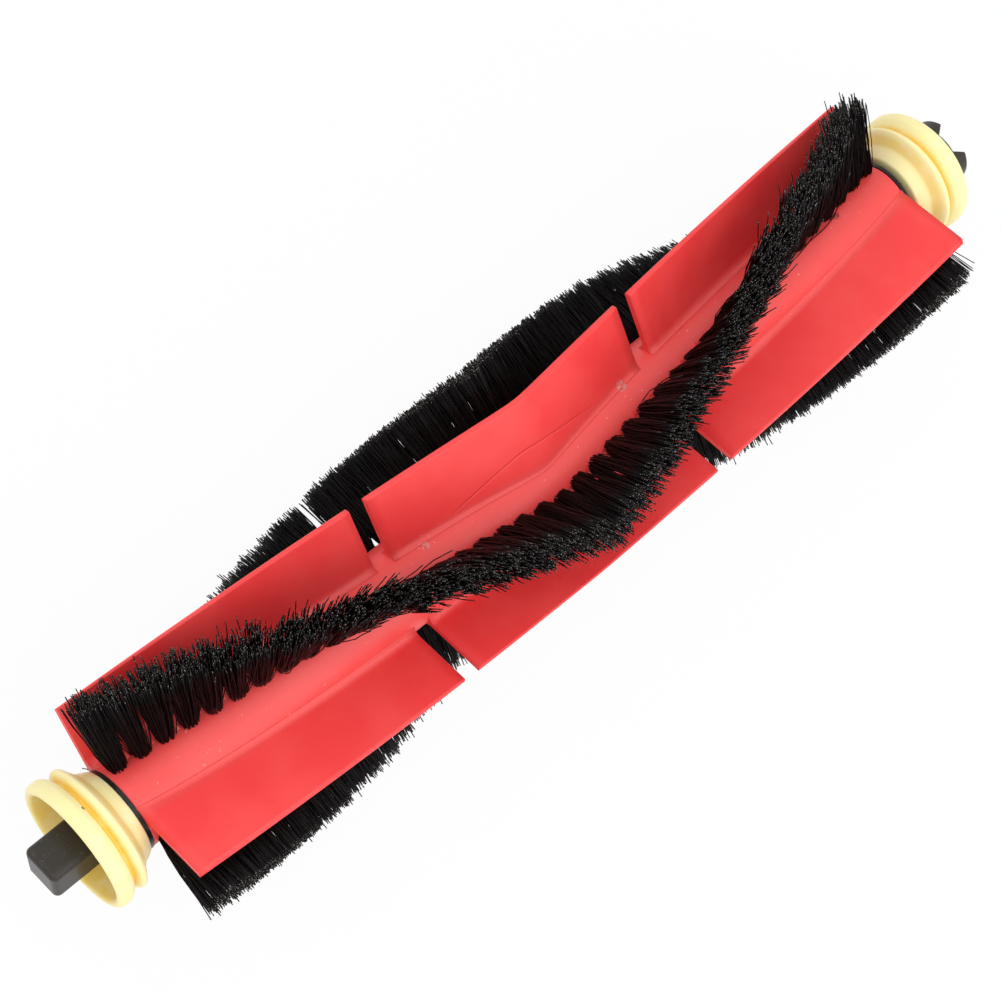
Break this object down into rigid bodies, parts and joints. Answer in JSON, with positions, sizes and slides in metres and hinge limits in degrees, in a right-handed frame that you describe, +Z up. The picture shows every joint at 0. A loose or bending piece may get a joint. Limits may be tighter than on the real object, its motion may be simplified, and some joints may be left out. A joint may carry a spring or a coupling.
{
  "type": "robot vacuum roller brush",
  "caption": "Robot vacuum roller brush: red rubber sleeve with slotted V-shaped fins, V-shaped rows of black bristle tufts, flanged end bushes, a square drive end and a lobed idle end.",
  "frame": {"origin": "middle of the brush's length, on the ground straight below its axis", "axes": "+X along the brush axis from the square drive end to the lobed idle end, +Z up, one bristle row on top with its V centred on the vertical plane through the axis"},
  "size_m": [0.1962, 0.0404, 0.0403],
  "materials": {
    "core": "satin black moulded plastic",
    "sleeve": "satin red moulded rubber",
    "bristles": "black nylon filament",
    "bushes": "smooth cream yellow plastic",
    "plugs": "dark charcoal moulded plastic"
  },
  "bodies": {
    "brush": {"core_rod": "core", "rubber_sleeve": "sleeve", "bristle_row_1": "bristles", "bristle_row_2": "bristles", "bristle_row_3": "bristles", "drive_plug": "plugs", "idle_plug": "plugs"},
    "drive_bush": {"drive_bush": "bushes"},
    "idle_bush": {"idle_bush": "bushes"}
  },
  "joints": [
    {"name": "drive_bush_spin", "type": "hinge", "parent": "brush", "child": "drive_bush", "pos_m": [-0.0857, 0, 0.02014], "axis": [1, 0, 0], "continuous": true},
    {"name": "idle_bush_spin", "type": "hinge", "parent": "brush", "child": "idle_bush", "pos_m": [0.085, 0, 0.02014], "axis": [1, 0, 0], "continuous": true}
  ]
}
